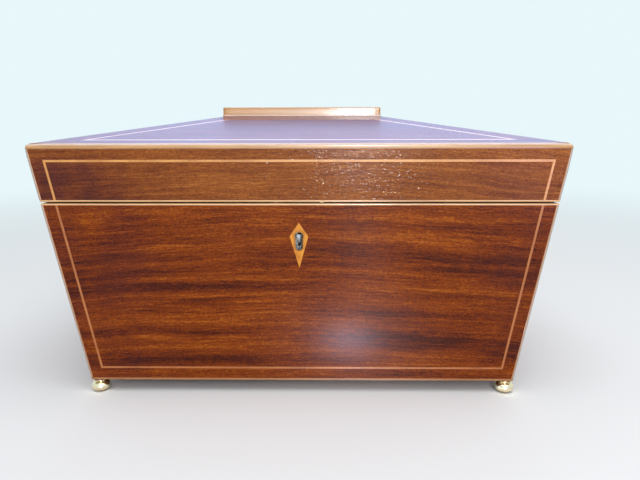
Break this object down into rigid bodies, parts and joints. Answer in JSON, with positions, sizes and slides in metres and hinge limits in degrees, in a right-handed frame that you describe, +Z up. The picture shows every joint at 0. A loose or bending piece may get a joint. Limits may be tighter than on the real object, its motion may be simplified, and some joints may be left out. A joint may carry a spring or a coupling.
{
  "type": "tea caddy",
  "caption": "Sarcophagus-shaped wooden tea caddy on brass feet, with a hinged hipped lid, inlaid stringing, a lock, lidded tea wells and a glass mixing bowl.",
  "frame": {"origin": "centre of the footprint, on the level that the four feet stand on", "axes": "+X along the caddy to the right of someone facing the lock, +Y from the lock side to the hinge side, +Z up"},
  "size_m": [0.32, 0.188, 0.1877],
  "materials": {
    "mahogany_veneer": "french polished",
    "mahogany_board": "satin",
    "boxwood": "french polished",
    "ebony": "polished",
    "brass": "polished",
    "steel": "dull",
    "glass": "clear",
    "velvet": "velvet"
  },
  "bodies": {
    "base": {"base_front_board": "mahogany_board", "base_right_board": "mahogany_board", "base_back_board": "mahogany_board", "base_left_board": "mahogany_board", "base_bottom_board": "mahogany_board", "base_front_veneer": "mahogany_veneer", "base_right_veneer": "mahogany_veneer", "base_back_veneer": "mahogany_veneer", "base_left_veneer": "mahogany_veneer", "base_stringing": "boxwood", "base_corner_edging": "boxwood", "base_rim_edging": "boxwood", "base_foot_edging": "boxwood", "escutcheon": "boxwood", "foot_front_left": "brass", "foot_front_right": "brass", "foot_back_left": "brass", "foot_back_right": "brass", "left_hinge_base_leaf": "brass", "right_hinge_base_leaf": "brass", "hinge_pins": "brass", "base_screws": "brass", "lock_case": "steel", "lock_plate": "brass", "lock_drill_pin": "steel", "left_partition": "mahogany_board", "right_partition": "mahogany_board", "left_tea_well": "mahogany_board", "right_tea_well": "mahogany_board", "bowl_deck": "mahogany_veneer", "bowl_floor": "mahogany_board", "bowl_pad": "velvet"},
    "lid": {"lid_front_board": "mahogany_board", "lid_right_board": "mahogany_board", "lid_back_board": "mahogany_board", "lid_left_board": "mahogany_board", "lid_roof_board": "mahogany_board", "lid_front_veneer": "mahogany_veneer", "lid_right_veneer": "mahogany_veneer", "lid_back_veneer": "mahogany_veneer", "lid_left_veneer": "mahogany_veneer", "roof_veneer": "mahogany_veneer", "lid_stringing": "boxwood", "lid_corner_edging": "boxwood", "lid_rim_edging": "boxwood", "lid_top_edging": "boxwood", "tablet": "mahogany_veneer", "tablet_edging": "boxwood", "lid_lining": "velvet", "left_hinge_lid_leaf": "brass", "right_hinge_lid_leaf": "brass", "lid_screws": "brass", "link_plate": "brass"},
    "left_tea_lid": {"left_tea_lid": "mahogany_veneer", "left_tea_lid_knob": "ebony"},
    "right_tea_lid": {"right_tea_lid": "mahogany_veneer", "right_tea_lid_knob": "ebony"},
    "glass_bowl": {"glass_bowl": "glass"},
    "lock_bolt": {"lock_bolt": "steel"}
  },
  "joints": [
    {"name": "lid_hinge", "type": "hinge", "parent": "base", "child": "lid", "pos_m": [0, 0.09028, 0.1314], "axis": [-1, 0, 0], "range_deg": [0, 100]},
    {"name": "left_tea_lid_lift", "type": "slide", "parent": "base", "child": "left_tea_lid", "axis": [0, 0, 1], "range_m": [0, 0.02]},
    {"name": "right_tea_lid_lift", "type": "slide", "parent": "base", "child": "right_tea_lid", "axis": [0, 0, 1], "range_m": [0, 0.02]},
    {"name": "glass_bowl_lift", "type": "slide", "parent": "base", "child": "glass_bowl", "axis": [0, 0, 1], "range_m": [0, 0.02]},
    {"name": "lock_bolt_slide", "type": "slide", "parent": "base", "child": "lock_bolt", "axis": [1, 0, 0], "range_m": [0, 0.0046]}
  ]
}
